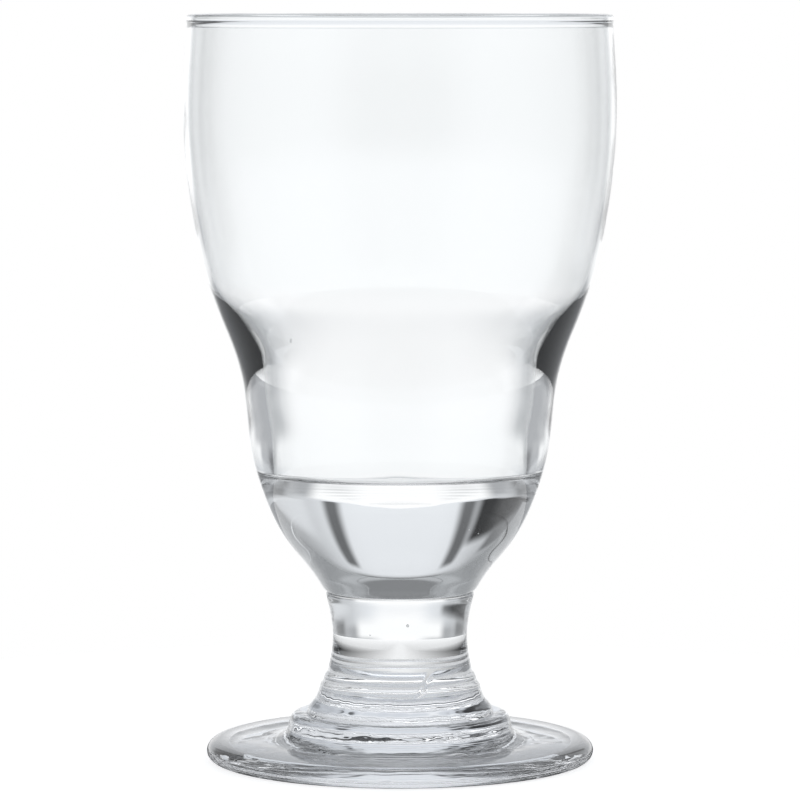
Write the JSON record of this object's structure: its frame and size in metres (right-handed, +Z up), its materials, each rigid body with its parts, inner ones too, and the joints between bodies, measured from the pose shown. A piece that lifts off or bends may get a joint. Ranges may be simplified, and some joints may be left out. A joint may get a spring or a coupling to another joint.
{
  "type": "stemmed goblet",
  "caption": "Clear glass stemmed goblet: waisted bowl with a thick heel and a beaded lip, on a short solid stem and a round foot.",
  "frame": {"origin": "centre of the foot's resting ring, on the table", "axes": "+Z up along the goblet's axis of revolution, from the foot to the lip"},
  "size_m": [0.0826, 0.0826, 0.143],
  "materials": {
    "bowl_glass": "clear fire-polished soda-lime glass, smooth and glossy",
    "stem_glass": "clear solid soda-lime glass with fine tool rings at its lower end",
    "foot_glass": "clear pressed soda-lime glass, glossy with slight chill ripple"
  },
  "bodies": {
    "root": {"bowl": "bowl_glass", "stem": "stem_glass", "foot": "foot_glass"}
  },
  "joints": []
}
